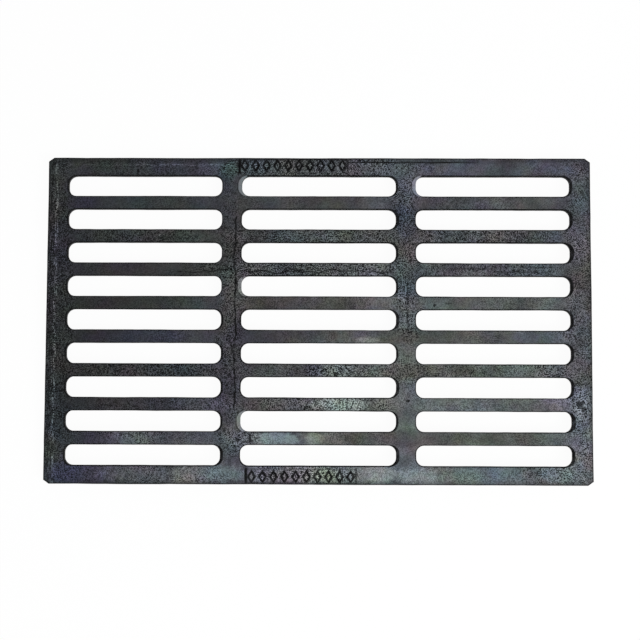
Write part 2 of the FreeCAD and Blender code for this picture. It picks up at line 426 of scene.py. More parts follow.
def add_stud(bm, x, y):
    """One raised lozenge with soft upper edges. Its sides are marked as edge, and its top is not."""
    height = 2 * (TOP - PAD_FLOOR)
    made = bmesh.ops.create_cone(bm, cap_ends=True, segments=4, radius1=1.19, radius2=0.81, depth=height)
    points = made["verts"]
    for point in points:
        point[edge_layer] = 1.0
    bmesh.ops.scale(bm, vec=(STUD_HALF[0], STUD_HALF[1], 1.0), verts=points)
    bmesh.ops.translate(bm, vec=(x, y, PAD_FLOOR), verts=points)
    upper = [edge for edge in {edge for point in points for edge in point.link_edges}
             if all(point.co.z > PAD_FLOOR for point in edge.verts)]
    soft = bmesh.ops.bevel(bm, geom=upper, offset=0.35 * MM, offset_type="OFFSET", segments=2, profile=0.5,
                           affect="EDGES", clamp_overlap=True, material=-1)
    top = next(face for point in soft["verts"] for face in point.link_faces
               if all(abs(corner.co.z - TOP) < MERGE for corner in face.verts))
    for thickness in (0.7 * MM, 0.9 * MM):
        bmesh.ops.inset_individual(bm, faces=[top], thickness=thickness)
    for point in top.verts:
        point[edge_layer] = 0.0


for pad_x, side in PAD_CENTRES:
    sink_pad(casting, pad_x, side)
    middle_y = side * (PAD_INNER + HALF[1]) / 2
    for number in range(STUDS):
        add_stud(casting, pad_x + (number - (STUDS - 1) / 2) * STUD_PITCH, middle_y)
print("With pads and studs:", len(casting.faces), "faces")

# %% [markdown]
# ## Joint lines of the pattern
# The plate's pattern was put together from pieces, and where they met the sand took a fine line. Each is
# a shallow groove. Four cuts give it two slopes and a bottom, and only the two inner cuts are lowered. A
# groove made this way follows any mesh that lies under it. Then smooth noise pushes the points sideways,
# less and less away from the groove, because a line in sand is never ruled.

# %% Joint lines
GROOVE_HALF = 1.5 * MM
GROOVE_FLOOR = 0.7 * MM
GROOVE_DEPTH = 0.7 * MM
GROOVE_FADE = 5.0 * MM
JOINT_LINES = (
    (0, -115.0 * MM, -122.0 * MM, 143.0 * MM, 4.6 * MM, 1.0),
    (0, 122.3 * MM, -20.0 * MM, 56.0 * MM, 1.2 * MM, 0.7),
    (1, 66.5 * MM, -195.0 * MM, 100.0 * MM, 5.0 * MM, 0.75),
)


def score_deck(bm, axis, at, start, end, wander, shade):
    """A shallow groove in the deck at one X (axis 0) or Y (axis 1), from start to end."""
    reach = 12.0 * MM
    low = (at - reach, start) if axis == 0 else (start, at - reach)
    high = (at + reach, end) if axis == 0 else (end, at + reach)
    for offset in (-GROOVE_HALF, -GROOVE_FLOOR, GROOVE_FLOOR, GROOVE_HALF):
        cut_deck(bm, axis, at + offset, low, high)
    for point in bm.verts:
        along, away = point.co[1 - axis], abs(point.co[axis] - at)
        if not start < along < end or away > GROOVE_FADE or point.co.z < TOP - MERGE:
            continue
        if away < GROOVE_FLOOR + MERGE:
            point.co.z -= GROOVE_DEPTH
            gaps = 0.85 + 0.9 * noise.noise(Vector((along * 90.0, at * 50.0, 5.0)))
            point[edge_layer] = shade * min(1.0, gaps)
        hold = min(1.0, (GROOVE_FADE - away) / (GROOVE_FADE - GROOVE_HALF))
        drift = noise.noise(Vector((along * 45.0, at * 50.0, 0.3)))
        drift += 0.5 * noise.noise(Vector((along * 140.0, at * 50.0, 0.7)))
        point.co[axis] += wander * hold * drift


for line in JOINT_LINES:
    score_deck(casting, *line)
print("With joint lines:", len(casting.faces), "faces")

# %% [markdown]
# ## A cast skin
# Sand never gives a true plane. Three waves of smooth noise, as wide as a hand, a finger and a pea, push
# each point inwards along its normal. They only push inwards, and a last clamp keeps every point inside
# the frame's box, so the casting still sits where the CAD says.

# %% Uneven skin
WAVES = ((14.0, 0.30 * MM), (55.0, 0.16 * MM), (160.0, 0.07 * MM))
casting.normal_update()
for point in casting.verts:
    push = sum(size * (noise.noise(point.co * rate) - 0.6) for rate, size in WAVES)
    point.co += point.normal * push
for point in casting.verts:
    for axis in range(3):
        point.co[axis] = min(max(point.co[axis], cad_low[axis]), cad_high[axis])
        if abs(point.co[axis] - cad_low[axis]) < 0.12 * MM and axis == 2:
            point.co[axis] = cad_low[axis]
for face in casting.faces:
    face.smooth = True

# %% [markdown]
# ## Make the object
# The bmesh becomes one mesh object at the origin, as the CAD node is. Faces in the slots and below get the
# second material, because a core leaves a rougher skin than the pattern does.

# %% Casting object
CORE_BELOW = TOP - LIP - 0.2 * MM
for face in casting.faces:
    middle = face.calc_center_median()
    outside = abs(middle.x) > HALF[0] - 1.5 * MM or abs(middle.y) > HALF[1] - 1.5 * MM
    face.material_index = 1 if middle.z < CORE_BELOW and not outside else 0
casting_mesh = bpy.data.meshes.new("casting")
casting.to_mesh(casting_mesh)
casting.free()
grate = bpy.data.objects.new("gully_casting", casting_mesh)
bpy.context.scene.collection.objects.link(grate)
triangles = sum(len(polygon.vertices) - 2 for polygon in casting_mesh.polygons)
print("Casting:", triangles, "triangles")

# %% [markdown]
# ## Node helpers
# Materials are easier to read when making a node and wiring it is one call. The helper takes the values
# and the links of the node's inputs by name or number.

# %% Node helpers
def node(tree, kind, inputs=None, **settings):
    """Adds a node. Each input is a plain value, or an output socket to link."""
    made = tree.nodes.new(kind)
    for name, value in settings.items():
        setattr(made, name, value)
    for key, value in (inputs or {}).items():
        if isinstance(value, bpy.types.NodeSocket):
            tree.links.new(value, made.inputs[key])
        else:
            made.inputs[key].default_value = value
    return made


def maths(tree, operation, *values, clamp=False):
    """The result of one sum."""
    return node(tree, "ShaderNodeMath", dict(enumerate(values)), operation=operation,
                use_clamp=clamp).outputs[0]


def remap(tree, value, low, high, to_low=0.0, to_high=1.0):
    """A value stretched smoothly from one range to another, and held at the ends."""
    return node(tree, "ShaderNodeMapRange",
                {"Value": value, "From Min": low, "From Max": high, "To Min": to_low, "To Max": to_high},
                interpolation_type="SMOOTHSTEP").outputs["Result"]


def mix_colour(tree, share, first, second, blend="MIX"):
    """Two colours mixed."""
    made = node(tree, "ShaderNodeMix", data_type="RGBA", blend_type=blend)
    for key, value in (("Factor_Float", share), ("A_Color", first), ("B_Color", second)):
        socket = next(item for item in made.inputs if item.identifier == key)
        if isinstance(value, bpy.types.NodeSocket):
            tree.links.new(value, socket)
        else:
            socket.default_value = value
    return next(item for item in made.outputs if item.identifier == "Result_Color")


def noise_of(tree, vector, scale, detail=3.0, roughness=0.55):
    """Smooth noise at one scale, from 0 to 1."""
    return node(tree, "ShaderNodeTexNoise",
                {"Vector": vector, "Scale": scale, "Detail": detail, "Roughness": roughness}
                ).outputs["Fac"]


def new_group(name, inputs, outputs):
    """An empty node group with named sockets, and its two end nodes."""
    group = bpy.data.node_groups.new(name, "ShaderNodeTree")
    for label, kind in inputs:
        group.interface.new_socket(name=label, in_out="INPUT", socket_type=kind)
    for label, kind in outputs:
        group.interface.new_socket(name=label, in_out="OUTPUT", socket_type=kind)
    return group, group.nodes.new("NodeGroupInput"), group.nodes.new("NodeGroupOutput")


# %% [markdown]
# ## Cast grain
# Iron poured into sand copies the grains. Close up the skin is a crowd of rounded bumps with pits between
# them. The group adds fine noise to soft cells for the height, and puts out a speckle for the colour too,
# so that dark pits and shading agree, and the few highest grains as glints. Both materials use it with
# their own grain size.

# %% Grain group
VECTOR, FLOAT, COLOUR = "NodeSocketVector", "NodeSocketFloat", "NodeSocketColor"
grain_group, ends_in, ends_out = new_group(
    "cast_grain", [("Place", VECTOR), ("Grains per metre", FLOAT)],
    [("Height", FLOAT), ("Speckle", FLOAT), ("Glint", FLOAT)])
place, per_metre = ends_in.outputs["Place"], ends_in.outputs["Grains per metre"]
fine = noise_of(grain_group, place, per_metre, 2.0, 0.5)
coarse = noise_of(grain_group, place, maths(grain_group, "MULTIPLY", per_metre, 0.35), 2.0, 0.5)
cells = node(grain_group, "ShaderNodeTexVoronoi",
             {"Vector": place, "Scale": maths(grain_group, "MULTIPLY", per_metre, 0.7), "Smoothness": 0.7},
             feature="SMOOTH_F1").outputs["Distance"]
bumps = maths(grain_group, "SUBTRACT", maths(grain_group, "MULTIPLY", fine, 0.9),
              maths(grain_group, "MULTIPLY", cells, 0.5))
height = maths(grain_group, "ADD", bumps, maths(grain_group, "MULTIPLY", coarse, 0.9))
grain_group.links.new(height, ends_out.inputs["Height"])
mixed = maths(grain_group, "ADD", maths(grain_group, "MULTIPLY", fine, 0.76),
              maths(grain_group, "MULTIPLY", coarse, 0.24))
grain_group.links.new(remap(grain_group, mixed, 0.42, 0.58), ends_out.inputs["Speckle"])
grain_group.links.new(remap(grain_group, fine, 0.58, 0.74), ends_out.inputs["Glint"])
print("Group:", grain_group.name)

# %% [markdown]
# ## Patches, painted sheen and tint
# Black iron is never one grey. Dry dust lies in soft patches. A drift makes the colour paler towards the
# front and the right, a painted sheen where the lamp's reflection falls. The skin is a little green,
# purple, blue or brown from place to place. One group gives all of this from broad noise, and the two
# materials share it, so that a patch runs over the edge from one to the other.

# %% Patch group
patch_group, ends_in, ends_out = new_group(
    "iron_patches", [("Place", VECTOR)],
    [("Dust", FLOAT), ("Sheen_drift", FLOAT), ("Roughened", FLOAT), ("Tint", COLOUR)])
place = ends_in.outputs["Place"]
broad = noise_of(patch_group, place, 15.0, 2.0, 0.5)
mottled = noise_of(patch_group, place, 45.0, 3.0, 0.5)
dust = maths(patch_group, "ADD", maths(patch_group, "MULTIPLY", broad, 0.72),
             maths(patch_group, "MULTIPLY", mottled, 0.28))
patch_group.links.new(remap(patch_group, dust, 0.36, 0.64), ends_out.inputs["Dust"])
along = node(patch_group, "ShaderNodeSeparateXYZ", {0: place})
# Painted sheen: the drift is paler towards the right and the front, where the lamp's reflection falls, and a
# little paler at the front and back edges.
to_right = remap(patch_group, along.outputs["X"], -0.4, 0.3)
to_front = remap(patch_group, along.outputs["Y"], 0.16, -0.2, 0.21, 0.42)
at_ends = maths(patch_group, "ADD", remap(patch_group, along.outputs["Y"], -0.12, -0.2, 0.0, 0.09),
                remap(patch_group, along.outputs["Y"], 0.0, 0.2, 0.0, 0.03))
drift = maths(patch_group, "MULTIPLY_ADD", to_right, to_front, at_ends)
patch_group.links.new(maths(patch_group, "MINIMUM", drift, 0.38), ends_out.inputs["Sheen_drift"])
worn = noise_of(patch_group, node(patch_group, "ShaderNodeVectorMath", {0: place, 1: (3.1, 1.7, 0.4)},
                                  operation="ADD").outputs[0], 20.0, 2.0, 0.5)
patch_group.links.new(remap(patch_group, worn, 0.4, 0.6), ends_out.inputs["Roughened"])
green = remap(patch_group, noise_of(patch_group, place, 11.0, 2.0, 0.5), 0.4, 0.6)
brown = remap(patch_group, node(patch_group, "ShaderNodeTexNoise",
                                {"Vector": place, "Scale": 8.0, "Detail": 2.0, "Roughness": 0.5,
                                 "Distortion": 0.5}).outputs["Fac"], 0.4, 0.6)
tint = mix_colour(patch_group, green, (1.03, 0.98, 1.03, 1.0), (0.91, 1.03, 1.0, 1.0))
tint = mix_colour(patch_group, 1.0, tint,
                  mix_colour(patch_group, brown, (0.97, 0.99, 1.09, 1.0), (1.04, 1.01, 0.93, 1.0)),
                  "MULTIPLY")
motes = node(patch_group, "ShaderNodeTexNoise",
             {"Vector": place, "Scale": 38.0, "Detail": 2.0, "Roughness": 0.6}).outputs["Color"]
motes = node(patch_group, "ShaderNodeVectorMath", {0: motes, 1: (0.38, 0.38, 0.42), 2: (0.81, 0.81, 0.79)},
             operation="MULTIPLY_ADD").outputs[0]
tint = mix_colour(patch_group, 1.0, tint, motes, "MULTIPLY")
patch_group.links.new(tint, ends_out.inputs["Tint"])
print("Group:", patch_group.name)

# %% [markdown]
# ## Single places
# Much of this casting can be pointed at: small pits, pale scuffs, dull places that kept no dust, bars
# where the sand left a rough skin beside smooth ones, and bars that turned bluish or brown. One group
# turns a centre and a size into a soft, ragged spot. The ragged noise comes in from outside, so that all
# spots of a list share one.

# %% Spot group
spot_group, ends_in, ends_out = new_group(
    "ragged_spot", [("Place", VECTOR), ("Rag", FLOAT), ("Centre", VECTOR), ("Size", VECTOR)], [("Mask", FLOAT)])
away = node(spot_group, "ShaderNodeVectorMath", {0: ends_in.outputs["Place"], 1: ends_in.outputs["Centre"]},
            operation="SUBTRACT").outputs[0]
away = node(spot_group, "ShaderNodeVectorMath", {0: away, 1: ends_in.outputs["Size"]},
            operation="DIVIDE").outputs[0]
away = node(spot_group, "ShaderNodeVectorMath", {0: away}, operation="LENGTH").outputs["Value"]
away = maths(spot_group, "ADD", away, ends_in.outputs["Rag"])
spot_group.links.new(remap(spot_group, away, 1.05, 0.45), ends_out.inputs["Mask"])


def marks(tree, place, spots, rag_scale):
    """The strongest of several spots, as one mask."""
    rag = maths(tree, "MULTIPLY_ADD", noise_of(tree, place, rag_scale, 2.0, 0.6), 1.1, -0.55)
    strongest = None
    for x, y, half_x, half_y, strength in spots:
        spot = node(tree, "ShaderNodeGroup", node_tree=spot_group)
        tree.links.new(place, spot.inputs["Place"])
        tree.links.new(rag, spot.inputs["Rag"])
        spot.inputs["Centre"].default_value = (x * MM, y * MM, TOP)
        spot.inputs["Size"].default_value = (half_x * MM, half_y * MM, 6.0 * MM)
        mask = maths(tree, "MULTIPLY", spot.outputs["Mask"], strength)
        strongest = maths(tree, "MAXIMUM", strongest, mask) if strongest else mask
    return strongest


print("Group:", spot_group.name)

# %% [markdown]
# ## Where the places are
# On the real grate rain, boots and the foundry chose these places, and noise alone would put them
# anywhere. So they are listed, one list for each kind. Each entry is a spot's X and Y, its half length and
# half width in millimetres, and how strong it is. The tinted ones are sorted by what they multiply the
# colour with.

# %% Lists of places
DARK_MARKS = (
    (159.0, 20.5, 2.0, 2.0, 0.9), (122.0, -110.3, 3.2, 2.6, 0.9), (356.0, -113.8, 6.5, 5.0, 0.85),
    (362.0, -121.0, 4.0, 4.5, 0.8), (-108.0, -164.0, 2.6, 2.0, 0.9), (-113.5, -172.3, 2.2, 2.2, 0.9),
    (-250.5, 205.7, 2.0, 3.6, 0.9), (-92.8, -162.0, 1.6, 9.0, 0.9), (349.0, -88.0, 4.0, 3.0, 0.6),
    (-246.0, 210.5, 1.6, 2.2, 0.7), (133.0, 105.0, 3.0, 2.0, 0.5), (178.0, 23.0, 6.0, 1.6, 0.5),
    (205.0, 71.0, 46.0, 1.7, 0.45), (272.0, 66.5, 52.0, 1.6, 0.45), (300.0, 73.0, 36.0, 1.4, 0.35),
    (-98.7, -212.0, 1.8, 16.0, 1.0),
)
PALE_MARKS = (
    (-219.5, 116.9, 1.6, 1.2, 0.9), (-58.0, -162.5, 42.0, 12.0, 0.9), (-6.0, -162.5, 18.0, 9.0, 0.5),
    (30.0, -115.6, 48.0, 13.0, 0.8), (84.0, -209.0, 34.0, 16.0, 0.65), (20.0, 116.0, 26.0, 8.0, 0.15),
    (132.0, -212.0, 38.0, 14.0, 0.62), (-138.0, -211.0, 66.0, 15.0, 0.38), (5.0, -140.0, 60.0, 30.0, 0.12),
    (-10.0, 24.0, 60.0, 40.0, 0.08), (66.0, -28.0, 20.0, 5.0, 0.5), (-248.0, -162.5, 40.0, 12.0, 0.36),
    (357.0, -112.0, 12.0, 26.0, 0.2), (-246.0, -211.0, 62.0, 16.0, 0.28), (-42.0, -115.6, 36.0, 14.0, 0.25),
    (-163.0, -115.6, 55.0, 14.0, 0.14), (-108.0, -158.0, 28.0, 20.0, 0.28), (-77.0, 69.4, 34.0, 16.0, 0.14),
    (78.0, 48.0, 50.0, 48.0, 0.2), (302.0, 69.4, 46.0, 16.0, 0.17), (322.0, -211.0, 32.0, 15.0, 0.27),
    (-38.0, 211.0, 130.0, 20.0, 0.14), (-40.0, -211.0, 100.0, 16.0, 0.38), (332.0, 10.0, 38.0, 60.0, 0.11),
    (-190.0, -162.0, 150.0, 16.0, 0.1), (335.0, 110.0, 42.0, 50.0, 0.1), (-108.0, 40.0, 34.0, 44.0, 0.12),
    (-184.0, -211.0, 22.0, 14.0, 0.4), (-78.0, -212.0, 24.0, 14.0, 0.5), (92.0, -115.6, 24.0, 13.0, 0.12),
    (330.0, -115.6, 26.0, 13.0, 0.16), (334.0, -23.0, 24.0, 14.0, 0.2), (24.0, 211.0, 30.0, 16.0, 0.24),
    (-146.0, 211.0, 24.0, 16.0, 0.14), (-112.0, 115.6, 20.0, 14.0, 0.1), (198.0, 115.6, 24.0, 14.0, 0.08),
    (-12.0, 115.6, 75.0, 14.0, 0.06), (285.0, 69.4, 50.0, 14.0, 0.14),
    (306.0, -115.6, 36.0, 13.0, 0.12), (350.0, 205.0, 30.0, 26.0, 0.12), (28.0, -69.4, 30.0, 14.0, 0.14),
    (54.0, -212.0, 26.0, 14.0, 0.3),
)
DULL_PLACES = (
    (122.0, -162.0, 125.0, 15.0, 0.48), (158.0, -69.4, 82.0, 15.0, 0.38), (168.0, -23.0, 98.0, 15.0, 0.42),
    (250.0, -115.6, 32.0, 14.0, 0.22),
    (338.0, -75.0, 36.0, 24.0, 0.22), (322.0, -162.0, 34.0, 15.0, 0.2), (215.0, 23.0, 36.0, 14.0, 0.16),
    (246.0, 208.0, 34.0, 18.0, 0.25), (-75.0, 160.0, 34.0, 14.0, 0.3), (10.0, 23.0, 24.0, 14.0, 0.3),
    (60.0, -162.0, 44.0, 14.0, 0.56), (165.0, -162.0, 34.0, 14.0, 0.58), (98.0, -23.0, 26.0, 14.0, 0.42),
    (232.0, -23.0, 26.0, 14.0, 0.5), (198.0, -69.4, 26.0, 14.0, 0.55), (334.0, 23.0, 24.0, 16.0, 0.25),
    (215.0, 211.0, 24.0, 18.0, 0.25), (267.0, 115.6, 24.0, 14.0, 0.2), (232.0, 69.4, 22.0, 14.0, 0.2),
    (362.0, -69.4, 18.0, 16.0, 0.2),
)
ROUGH_PLACES = (
    (0.0, 211.0, 160.0, 22.0, 1.15), (110.0, 115.6, 300.0, 20.0, 0.75), (-15.0, 69.4, 175.0, 22.0, 1.0),
    (230.0, 69.4, 140.0, 18.0, 0.4), (30.0, -69.4, 300.0, 20.0, 0.36), (20.0, -69.4, 50.0, 20.0, 1.1),
    (-8.0, -115.6, 150.0, 20.0, 0.55), (-110.0, -162.0, 38.0, 24.0, 0.6), (330.0, -211.0, 75.0, 20.0, 0.36),
    (-120.0, 0.0, 22.0, 230.0, 0.5), (121.0, 90.0, 24.0, 150.0, 0.75), (365.0, 0.0, 36.0, 280.0, 0.45),
    (-362.0, 0.0, 30.0, 280.0, 0.85), (-20.0, -211.0, 90.0, 20.0, 0.8), (-240.0, -69.4, 150.0, 20.0, 0.75),
    (-250.0, 115.6, 130.0, 20.0, 0.42), (-240.0, -138.0, 140.0, 42.0, 0.26), (-230.0, -211.0, 160.0, 20.0, 0.28),
    (-240.0, 211.0, 150.0, 20.0, 0.16), (318.0, -69.4, 50.0, 18.0, 0.5), (140.0, -211.0, 110.0, 20.0, 0.1),
)
TINTED_PLACES = (
    ((0.8, 1.0, 0.9, 1.0), (
        (-135.0, -210.0, 38.0, 18.0, 1.0), (-248.0, -162.0, 40.0, 14.0, 0.8), (-58.0, -162.0, 40.0, 14.0, 1.0),
        (-284.0, 210.0, 36.0, 18.0, 0.8), (-124.0, 206.0, 18.0, 18.0, 1.1), (130.0, 62.0, 40.0, 28.0, 0.8),
        (215.0, -212.0, 70.0, 18.0, 0.5), (338.0, -210.0, 46.0, 20.0, 0.7), (-12.0, 211.0, 75.0, 20.0, 0.5),
        (-185.0, 115.6, 40.0, 14.0, 0.7), (250.0, 185.0, 50.0, 46.0, 0.45), (14.0, -115.6, 40.0, 13.0, 0.15))),
    ((1.09, 1.0, 1.4, 1.0), (
        (-325.0, -208.0, 48.0, 28.0, 1.2), (-300.0, -162.0, 42.0, 14.0, 0.35), (-250.0, -23.0, 80.0, 14.0, 0.7),
        (-336.0, 185.0, 26.0, 40.0, 0.5), (283.0, -23.0, 24.0, 14.0, 0.6), (-330.0, 162.0, 30.0, 14.0, 0.5),
        (-265.0, 92.0, 40.0, 40.0, 0.4))),
    ((0.92, 1.0, 1.18, 1.0), (
        (119.0, 138.0, 22.0, 30.0, 0.9), (315.0, 115.6, 26.0, 14.0, 0.9), (322.0, -23.0, 26.0, 14.0, 0.9),
        (-185.0, 208.0, 70.0, 18.0, 0.5), (352.0, -118.0, 28.0, 44.0, 1.0), (250.0, -130.0, 110.0, 24.0, 0.5),
        (345.0, -165.0, 40.0, 26.0, 0.8), (230.0, -205.0, 60.0, 24.0, 0.8), (354.0, -30.0, 26.0, 80.0, 0.7),
        (328.0, -88.0, 34.0, 44.0, 0.8), (340.0, -208.0, 44.0, 24.0, 0.9), (235.0, 208.0, 120.0, 22.0, 0.8))),
    ((1.05, 1.01, 0.88, 1.0), (
        (250.0, -162.0, 80.0, 12.0, 0.6), (10.0, 23.0, 125.0, 14.0, 1.1), (205.0, -23.0, 45.0, 14.0, 0.5),
        (72.0, -209.0, 46.0, 16.0, 1.3), (-20.0, -212.0, 90.0, 16.0, 0.7),
        (75.0, -162.0, 48.0, 14.0, 0.9), (66.0, -28.0, 26.0, 8.0, 1.2), (-109.0, -138.8, 6.0, 16.0, 1.2),
        (200.0, 115.6, 60.0, 14.0, 0.5),
        (-6.0, -162.0, 24.0, 12.0, 0.9),
        (-85.0, -66.0, 75.0, 18.0, 0.7), (-20.0, -23.0, 80.0, 14.0, 0.6))),
    ((1.09, 0.97, 0.93, 1.0), (
        (50.0, 60.0, 75.0, 26.0, 0.5), (80.0, -23.0, 90.0, 14.0, 1.0), (130.0, -69.4, 85.0, 15.0, 0.8),
        (100.0, -115.6, 45.0, 14.0, 0.4), (30.0, -162.0, 36.0, 14.0, 1.0), (110.0, 22.0, 60.0, 14.0, 0.7),
        (150.0, 160.0, 60.0, 14.0, 0.5), (215.0, -212.0, 30.0, 16.0, 0.5))),
)
print("Dark and pale marks:", len(DARK_MARKS) + len(PALE_MARKS), "rough places:", len(ROUGH_PLACES))

# %% [markdown]
# ## Streaks, painted highlight and shade beside the rim
# At the back and on the left the plate was dragged over others, and its border took streaks along the
# edge. They are noise that is stretched along the edge, near it only. A paler line where the rim meets the
# deck is a painted highlight on that ridge, and the darker line and band beside it are painted shade on the
# two sides that face away from the lamp. The group works out how far each point lies from those two
# edges, so it needs no layer on the mesh.

# %% Rim group
rim_streaks_and_shading_group, ends_in, ends_out = new_group("rim_streaks_and_shading", [("Place", VECTOR)], [("Pale_and_highlight", FLOAT), ("Dark_and_shade", FLOAT)])
place = ends_in.outputs["Place"]
spot = node(rim_streaks_and_shading_group, "ShaderNodeSeparateXYZ", {0: place})
wobble = maths(rim_streaks_and_shading_group, "MULTIPLY_ADD", noise_of(rim_streaks_and_shading_group, place, 30.0, 2.0, 0.5), 4.0 * MM, -2.0 * MM)


def line_at(value, at, half):
    """1 on a line, and 0 where value is more than half away from it."""
    away = maths(rim_streaks_and_shading_group, "ABSOLUTE", maths(rim_streaks_and_shading_group, "SUBTRACT", value, at))
    return remap(rim_streaks_and_shading_group, away, half, half * 0.3)


def streaks(stretch):
    """Noise stretched along one edge."""
    stretched = node(rim_streaks_and_shading_group, "ShaderNodeVectorMath", {0: place, 1: stretch}, operation="MULTIPLY").outputs[0]
    return noise_of(rim_streaks_and_shading_group, stretched, 1.0, 2.0, 0.55)


def times(*values):
    """The product of several values."""
    result = values[0]
    for value in values[1:]:
        result = maths(rim_streaks_and_shading_group, "MULTIPLY", result, value)
    return result


# Left side: the pale line at 12.6 mm is a painted highlight and the dark line at 6 mm painted shade. The bands
# out to 20 mm are streaks.
from_left = maths(rim_streaks_and_shading_group, "ADD", maths(rim_streaks_and_shading_group, "ADD", spot.outputs["X"], HALF[0]), wobble)
left_streaks = streaks((620.0, 60.0, 1.0))
left_pale_and_highlight = maths(rim_streaks_and_shading_group, "ADD",
                  times(line_at(from_left, 12.6 * MM, 2.4 * MM), remap(rim_streaks_and_shading_group, left_streaks, 0.4, 0.58), 1.1),
                  times(remap(rim_streaks_and_shading_group, from_left, 20.0 * MM, 12.0 * MM),
                        remap(rim_streaks_and_shading_group, left_streaks, 0.5, 0.66), 0.8))
left_dark_and_shade = maths(rim_streaks_and_shading_group, "ADD", times(line_at(from_left, 6.0 * MM, 1.8 * MM), 0.6),
                  times(remap(rim_streaks_and_shading_group, from_left, 20.0 * MM, 12.0 * MM),
                        remap(rim_streaks_and_shading_group, left_streaks, 0.48, 0.33), 0.8))
# Back side: the pale line at 10.3 mm is a painted highlight. The dark line at 6.6 mm and the band within 10 mm
# of the edge are painted shade, broken by streaks.
from_back = maths(rim_streaks_and_shading_group, "ADD", maths(rim_streaks_and_shading_group, "SUBTRACT", HALF[1], spot.outputs["Y"]),
                  maths(rim_streaks_and_shading_group, "MULTIPLY", wobble, 0.4))
back_streaks = streaks((60.0, 620.0, 1.0))
highlit_part = times(remap(rim_streaks_and_shading_group, spot.outputs["X"], -290.0 * MM, -180.0 * MM, 0.3, 1.0),
                  remap(rim_streaks_and_shading_group, spot.outputs["X"], -60.0 * MM, -110.0 * MM))
back_highlight = times(line_at(from_back, 10.3 * MM, 1.8 * MM), remap(rim_streaks_and_shading_group, back_streaks, 0.38, 0.56),
                  highlit_part)
shaded_part = times(remap(rim_streaks_and_shading_group, spot.outputs["X"], 20.0 * MM, 50.0 * MM),
                    remap(rim_streaks_and_shading_group, spot.outputs["X"], 240.0 * MM, 190.0 * MM))
back_dark_and_shade = maths(rim_streaks_and_shading_group, "ADD", times(line_at(from_back, 6.6 * MM, 1.7 * MM), shaded_part),
                  times(remap(rim_streaks_and_shading_group, from_back, 10.0 * MM, 8.0 * MM),
                        remap(rim_streaks_and_shading_group, back_streaks, 0.62, 0.35), 0.4,
                        remap(rim_streaks_and_shading_group, spot.outputs["X"], 330.0 * MM, 180.0 * MM)))
rim_streaks_and_shading_group.links.new(maths(rim_streaks_and_shading_group, "MAXIMUM", left_pale_and_highlight, back_highlight), ends_out.inputs["Pale_and_highlight"])
rim_streaks_and_shading_group.links.new(maths(rim_streaks_and_shading_group, "MAXIMUM", left_dark_and_shade, back_dark_and_shade), ends_out.inputs["Dark_and_shade"])
print("Group:", rim_streaks_and_shading_group.name)

# %% [markdown]
# ## Painted shade and dirt round the studs
# A dark ring is painted round the foot of each stud, partly shade and partly dirt, and that ring is what
# the eye reads from above. The same lozenge is drawn again on the floor: the distance along X and the
# distance along Y, each as a share of the stud's half size, add up to one on its outline. Ping-pong repeats
# it at the studs' pitch.

# %% Stud shade and dirt
def stud_shade_and_dirt(tree, place):
    """A dark ring round the foot of each stud: painted shade and dirt."""
    spot = node(tree, "ShaderNodeSeparateXYZ", {0: place})
    strongest = None
    for pad_x, side in PAD_CENTRES:
        row_half = STUDS * STUD_PITCH / 2
        along = maths(tree, "SUBTRACT", spot.outputs["X"], pad_x)
        beat = maths(tree, "PINGPONG", maths(tree, "ADD", along, row_half), STUD_PITCH / 2)
        off_x = maths(tree, "DIVIDE", maths(tree, "SUBTRACT", STUD_PITCH / 2, beat), STUD_HALF[0])
        off_y = maths(tree, "ABSOLUTE", maths(tree, "SUBTRACT", spot.outputs["Y"],
                                              side * (PAD_INNER + HALF[1]) / 2))
        lozenge = maths(tree, "ADD", off_x, maths(tree, "DIVIDE", off_y, STUD_HALF[1]))
        ring = maths(tree, "MULTIPLY", remap(tree, lozenge, 1.42, 1.12), remap(tree, lozenge, 0.62, 0.85))
        inside = remap(tree, maths(tree, "ABSOLUTE", along), row_half, row_half - 1.0 * MM)
        ring = maths(tree, "MULTIPLY", ring, inside)
        strongest = maths(tree, "MAXIMUM", strongest, ring) if strongest else ring
    return strongest
